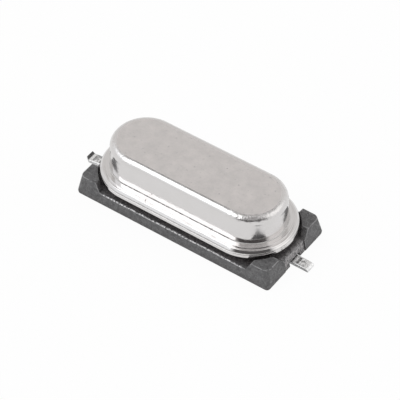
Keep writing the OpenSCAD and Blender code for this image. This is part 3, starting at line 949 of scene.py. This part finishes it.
def lead_finish(centre, normal):
    """Which finish a face of a lead has, from its middle in millimetres."""
    x = abs(centre.x)
    pressed = normal.z > 0.5 and abs(centre.y) < TAB_W / 2 - PRESS_PAINT
    if x < TAB_X:
        return BRIGHT
    # Painted shade: the tabs' upright sides are darker, the right tab's more than the left's
    if abs(normal.z) < 0.3 and abs(normal.y) > 0.7:
        return TIN_SHADE if centre.x > 0 else LEFT_SIDE_SHADE
    # Painted reflection: the top of the left tab's turned-up end is painted dark
    if centre.x < TURN_L - TAB_END and normal.z > 0.2:
        return TIP_DARK_REFLECTION
    if pressed and FIELD_X < x < FIELD_END:
        return COINED
    # The score line is painted dark as shade
    if pressed and abs(x - SCORE_X) < SCORE_PAINT:
        return TIN_SHADE
    return BRIGHT


def paint_by_face(obj, which, *materials):
    """Gives obj these materials; which(centre, normal) says which of them a face has."""
    paint(obj, *materials)
    for face in obj.data.polygons:
        face.material_index = which(face.center / MM, face.normal)


def paint_hidden():
    """Materials for the CAD nodes inside the can, by the start of their names."""
    finishes = {
        "glass_seal": hidden_material("seal_glass", (0.10, 0.22, 0.19, 1), (0.16, 0.30, 0.26, 1), 0.1,
                                      transmission=0.4),
        "quartz": hidden_material("lapped_quartz", (0.82, 0.88, 0.90, 1), (0.90, 0.94, 0.95, 1), 0.2,
                                  transmission=0.7),
        "electrode": hidden_material("silver_film", (0.86, 0.85, 0.82, 1), (0.95, 0.94, 0.91, 1), 0.15,
                                     metallic=1.0),
        "mount_clip": hidden_material("spring_strip", (0.72, 0.60, 0.36, 1), (0.82, 0.70, 0.46, 1), 0.25,
                                      metallic=1.0),
        "adhesive": hidden_material("silver_adhesive", (0.44, 0.45, 0.47, 1), (0.56, 0.57, 0.59, 1), 0.5,
                                    metallic=0.3)}
    for name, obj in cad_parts.items():
        for start, material in finishes.items():
            if name.startswith(start):
                paint(obj, material)


# ---------------------------------------------------------------- studio

# Camera, fitted to the photograph: lengths in millimetres
CAMERA_AZ = math.radians(36.323)
CAMERA_EL = math.radians(46.468)
CAMERA_ROLL = math.radians(-0.962)
CAMERA_DISTANCE = 115.2
CAMERA_TARGET = Vector((0.437, -0.496, 1.528))
PIXELS_PER_MM = 20.831
FRAME_PIXELS = 400
SENSOR = 36.0
CLIP_NEAR = 0.01                                # metres, as the next sizes are
CLIP_FAR = 2.0

FLOOR_HALF = 0.6
FLOOR_GAP = 2e-6                                # keeps the floor clear of the part's underside
PAPER_GREY = 0.9
PAPER_GLOW = 0.95                               # how white the paper looks to the camera and in mirrors

LAMP_AZ, LAMP_EL = -125, 55
LAMP_DISTANCE = 0.5
LAMP_SIZE = 0.3
LAMP_RADIANCE = 1.2                             # 1 is white

# The tent's patches, each laid over those before it. A patch is its middle azimuth and half width, its lowest
# and highest elevation, and how soft its level and its upright edges are, all in degrees. Azimuths turn from
# +X towards +Y; FACING is the camera's own.
FACING = math.degrees(CAMERA_AZ) - 90
TENT = (0.95, 0.95, 0.95, 1)
TENT_PATCHES = (
    # Grey backdrop, which the flat top mirrors, and a dark bar over it for the line round the top
    ((126, 50, -10, 80, 8, 8), (0.835, 0.822, 0.812, 1)),
    ((126, 72, 59, 68, 2, 4), (0.25, 0.245, 0.24, 1)),
    # Left soft box and its brighter part, then the right soft box
    ((-144, 40, 25, 66, 3, 3), (1.12, 1.14, 1.16, 1)),
    ((-144, 36, 37, 66, 3, 3), (1.42, 1.45, 1.48, 1)),
    ((28, 28, 22, 66, 6, 6), (1.35, 1.34, 1.33, 1)),
    # Dim roof, and the gap between the soft boxes: dim, with a pale strip at its foot, and dark under that
    ((FACING, 170, 78, 95, 4, 5), (0.46, 0.45, 0.45, 1)),
    ((FACING, 48, 52, 80, 3, 5), (0.36, 0.35, 0.35, 1)),
    ((FACING, 48, 47.2, 54, 1.5, 5), (0.95, 0.94, 0.94, 1)),
    ((FACING, 44, 14, 47.2, 1.5, 7), (0.12, 0.115, 0.115, 1)))


def heading(azimuth, elevation):
    """Direction of an azimuth, which turns from +X towards +Y, and an elevation, in degrees."""
    a, e = math.radians(azimuth), math.radians(elevation)
    return Vector((math.cos(a) * math.cos(e), math.sin(a) * math.cos(e), math.sin(e)))


def make_camera():
    back = Vector((math.sin(CAMERA_AZ) * math.cos(CAMERA_EL),
                   -math.cos(CAMERA_AZ) * math.cos(CAMERA_EL), math.sin(CAMERA_EL)))
    right = Vector((math.cos(CAMERA_AZ), math.sin(CAMERA_AZ), 0))
    up = back.cross(right)
    c, s = math.cos(CAMERA_ROLL), math.sin(CAMERA_ROLL)
    data = bpy.data.cameras.new("camera")
    data.sensor_width = SENSOR
    data.lens = PIXELS_PER_MM * CAMERA_DISTANCE / FRAME_PIXELS * SENSOR
    data.clip_start = CLIP_NEAR
    data.clip_end = CLIP_FAR
    camera = new_object("camera", data)
    place = Matrix((c * right + s * up, -s * right + c * up, back)).transposed().to_4x4()
    place.translation = (CAMERA_TARGET + CAMERA_DISTANCE * back) * MM
    camera.matrix_world = place
    bpy.context.scene.camera = camera


def pale_rays(tree):
    """1 for camera, glossy and transmission rays, and 0 for light that falls on the object."""
    path = tree.nodes.new("ShaderNodeLightPath")
    total = path.outputs["Is Camera Ray"]
    for name in ("Is Glossy Ray", "Is Transmission Ray"):
        total = add_math(tree, "MAXIMUM", total, path.outputs[name])
    return total


def make_floor():
    """Pale paper that takes the object's shadow and is near white to the camera and in mirrors."""
    bm = bmesh.new()
    bm.faces.new([bm.verts.new((x * FLOOR_HALF, y * FLOOR_HALF, -FLOOR_GAP))
                  for x, y in ((-1, -1), (1, -1), (1, 1), (-1, 1))])
    floor = object_of(bm, "floor")
    material, tree, shader = new_material("pale_paper")
    shader.inputs["Base Color"].default_value = (PAPER_GREY, PAPER_GREY, PAPER_GREY, 1)
    shader.inputs["Roughness"].default_value = 0.9
    glow = tree.nodes.new("ShaderNodeEmission")
    glow.inputs["Color"].default_value = WHITE
    mix = tree.nodes.new("ShaderNodeMixShader")
    tree.links.new(times(tree, pale_rays(tree), PAPER_GLOW), mix.inputs["Fac"])
    tree.links.new(shader.outputs["BSDF"], mix.inputs[1])
    tree.links.new(glow.outputs["Emission"], mix.inputs[2])
    tree.links.new(mix.outputs["Shader"], tree.nodes["Material Output"].inputs["Surface"])
    floor.data.materials.append(material)


def sine(degrees):
    return math.sin(math.radians(degrees))


def cosine(degrees):
    return math.cos(math.radians(degrees))


def sky_patch(tree, azimuth, half_width, low, high, level_soft, side_soft):
    """1 inside a patch of the tent and 0 outside it."""
    direction = tree.nodes.new("ShaderNodeTexCoord").outputs["Generated"]
    level = add_vector_math(tree, "NORMALIZE", add_vector_math(tree, "MULTIPLY", direction, (1, 1, 0)))
    towards = add_vector_math(tree, "DOT_PRODUCT", level, heading(azimuth, 0))
    sides = step_up(tree, towards, cosine(half_width + side_soft), cosine(max(half_width - side_soft, 0)))
    height = split(tree, direction)["Z"]
    floor_edge = step_up(tree, height, sine(low - level_soft), sine(low + level_soft))
    roof_edge = step_down(tree, height, sine(high - level_soft), sine(min(high + level_soft, 89.9)))
    return times(tree, times(tree, sides, floor_edge), roof_edge)


def make_world():
    """A tent with a soft box on each side of the camera, a dark gap between them and a grey backdrop."""
    world = bpy.data.worlds.new("studio")
    bpy.context.scene.world = world
    world.use_nodes = True
    tree = world.node_tree
    tent = TENT
    for patch, colour in TENT_PATCHES:
        tent = mix_colours(tree, sky_patch(tree, *patch), tent, colour)
    path = tree.nodes.new("ShaderNodeLightPath")
    seen = mix_colours(tree, path.outputs["Is Camera Ray"], tent, WHITE)
    feed(tree, tree.nodes["Background"].inputs["Color"], seen)


def make_lamp():
    """A square soft box that faces the object."""
    direction = heading(LAMP_AZ, LAMP_EL)
    data = bpy.data.lights.new("soft_box", "AREA")
    data.shape = "SQUARE"
    data.size = LAMP_SIZE
    data.energy = LAMP_RADIANCE * math.pi * LAMP_SIZE * LAMP_SIZE
    lamp = new_object("soft_box", data)
    lamp.location = direction * LAMP_DISTANCE
    lamp.rotation_mode = "QUATERNION"
    lamp.rotation_quaternion = direction.to_track_quat("Z", "Y")


# ---------------------------------------------------------------- build


bpy.context.scene.view_settings.view_transform = "Standard"
paint_by_face(make_can(), can_finish, polished_nickel(), satin_nickel(), painted_shade_nickel())
paint(make_header(), polished_nickel())
# The seat's rounded edges take the second material, with pale painted highlight patches
paint(make_seat(), moulded_plastic("moulded_plastic", edge_highlight=False),
      moulded_plastic("painted_edge_highlight", edge_highlight=True))
for lead in make_leads():
    paint_by_face(lead, lead_finish, *lead_tins())
paint_hidden()
make_camera()
make_floor()
make_world()
make_lamp()
